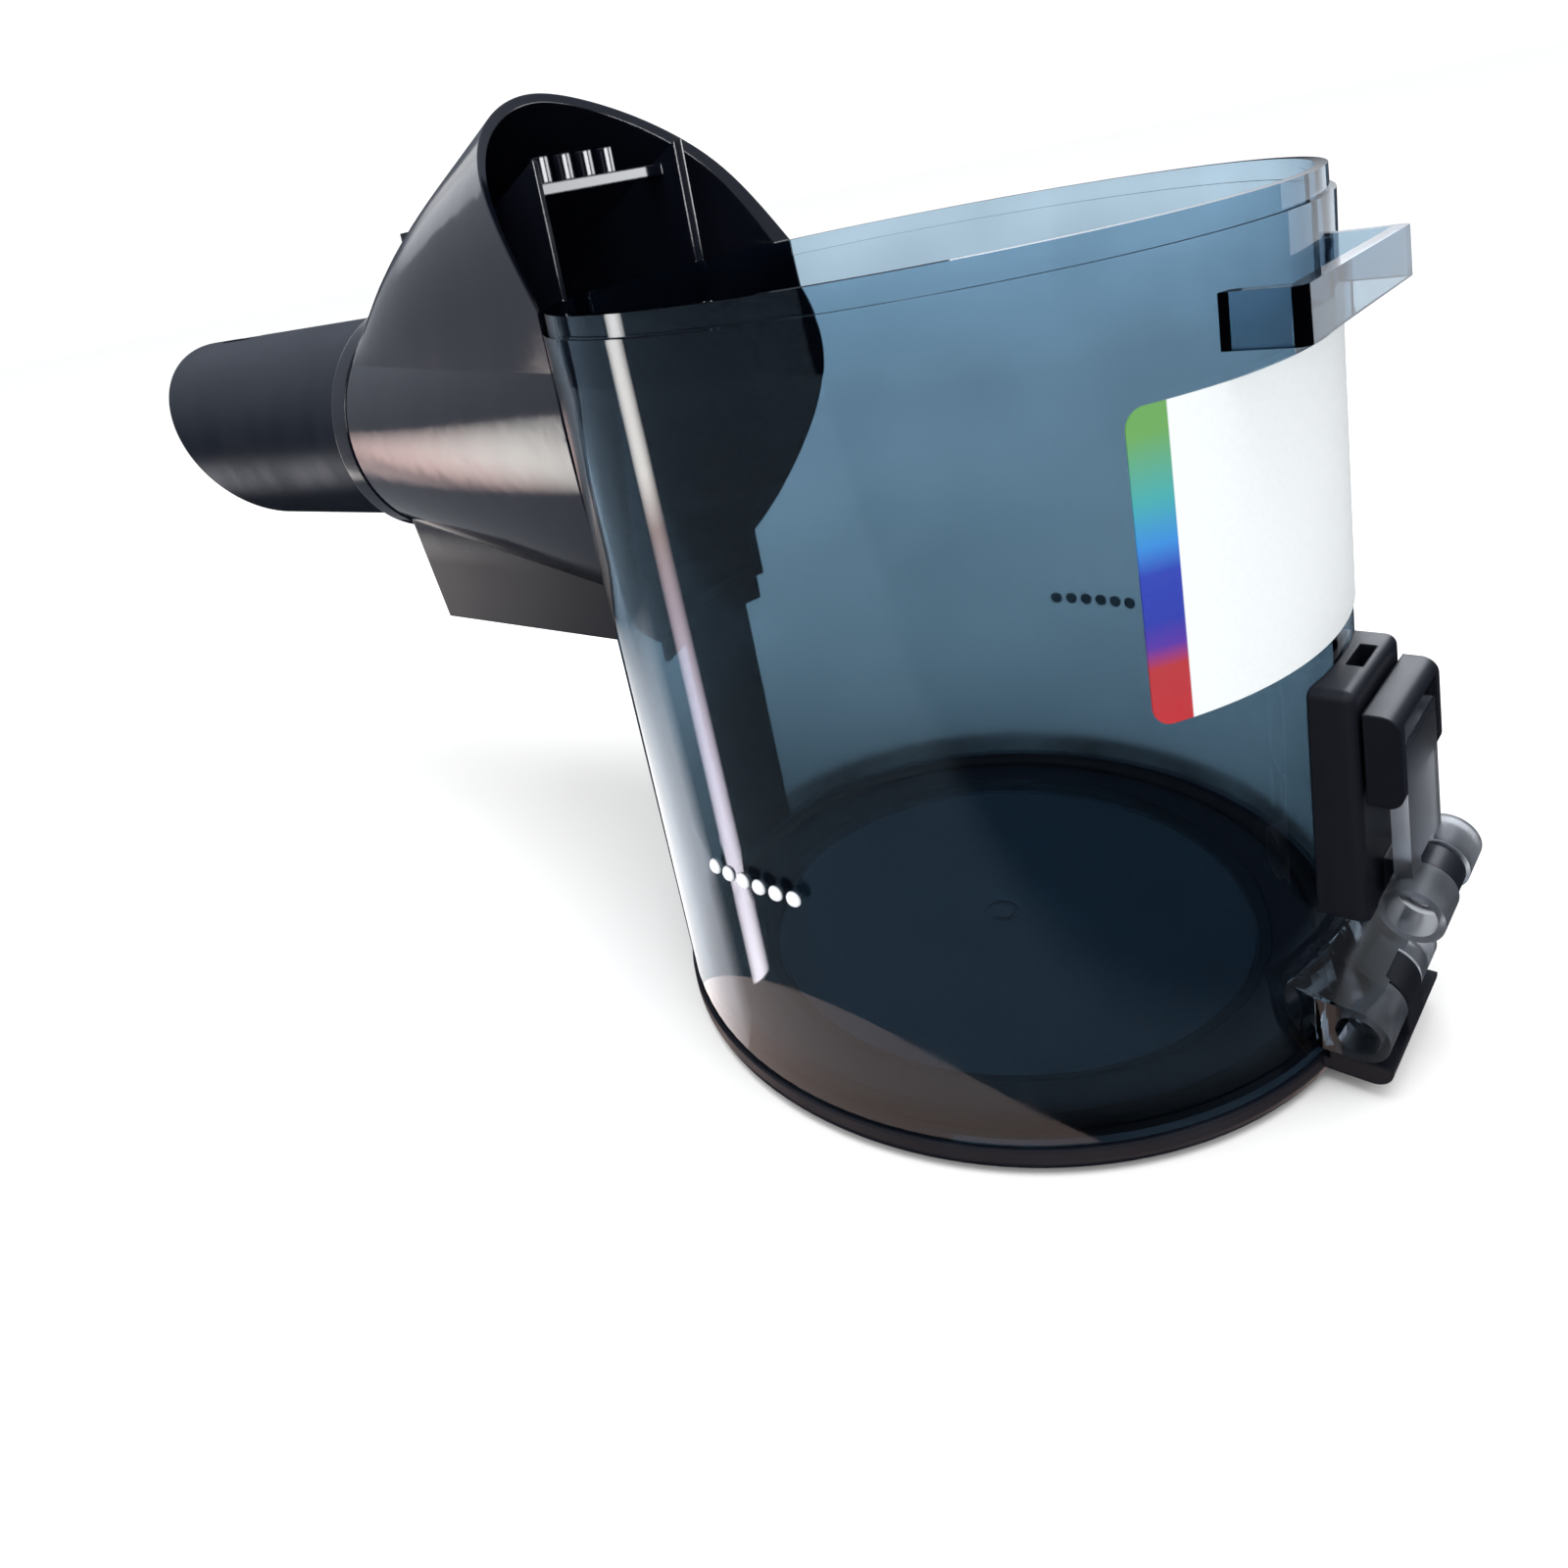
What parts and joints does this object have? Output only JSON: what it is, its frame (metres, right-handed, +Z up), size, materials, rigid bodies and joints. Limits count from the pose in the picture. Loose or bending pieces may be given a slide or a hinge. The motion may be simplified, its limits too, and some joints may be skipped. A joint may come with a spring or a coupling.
{
  "type": "vacuum cleaner dust cup",
  "caption": "Clear dust cup of a cordless stick vacuum: smoked canister with a flared black inlet hood and tube, a hinged bottom lid and a sprung release lever.",
  "frame": {"origin": "on the canister's axis at the underside of the lid's window, which the cup rests on", "axes": "+Z up along the canister's axis, out of its mouth. +X to the rear, with hinge and latch. The inlet points to -X, turned 6 degrees towards -Y"},
  "size_m": [0.2136, 0.09, 0.1237],
  "materials": {
    "smoked_clear": "clear, smoked blue-grey, glossy",
    "gloss_black": "glossy",
    "satin_black": "satin",
    "satin_grey": "satin",
    "seal_rubber": "matt",
    "steel": "drawn",
    "label_paper": "printed paper, matt"
  },
  "bodies": {
    "cup": {"canister": "smoked_clear", "front_catch": "satin_black", "inlet_hood": "gloss_black", "inlet_tube": "satin_grey", "latch_housing": "satin_black", "lever_pin": "steel", "lever_spring": "steel", "rear_label": "label_paper"},
    "lid": {"lid_ring": "satin_black", "lid_window": "smoked_clear", "lid_seal": "seal_rubber", "hinge_pin": "steel"},
    "lever": {"release_lever": "smoked_clear", "finger_tab": "satin_black"}
  },
  "joints": [
    {"name": "lid_hinge", "type": "hinge", "parent": "cup", "child": "lid", "pos_m": [0.0463, 0, 0.0074], "axis": [0, -1, 0], "range_deg": [0, 95]},
    {"name": "lever_pivot", "type": "hinge", "parent": "cup", "child": "lever", "pos_m": [0.05136, 0, 0.02245], "axis": [0, 1, 0], "range_deg": [0, 12], "stiffness_Nm_per_rad": 0.1, "springref_deg": -5.73}
  ]
}
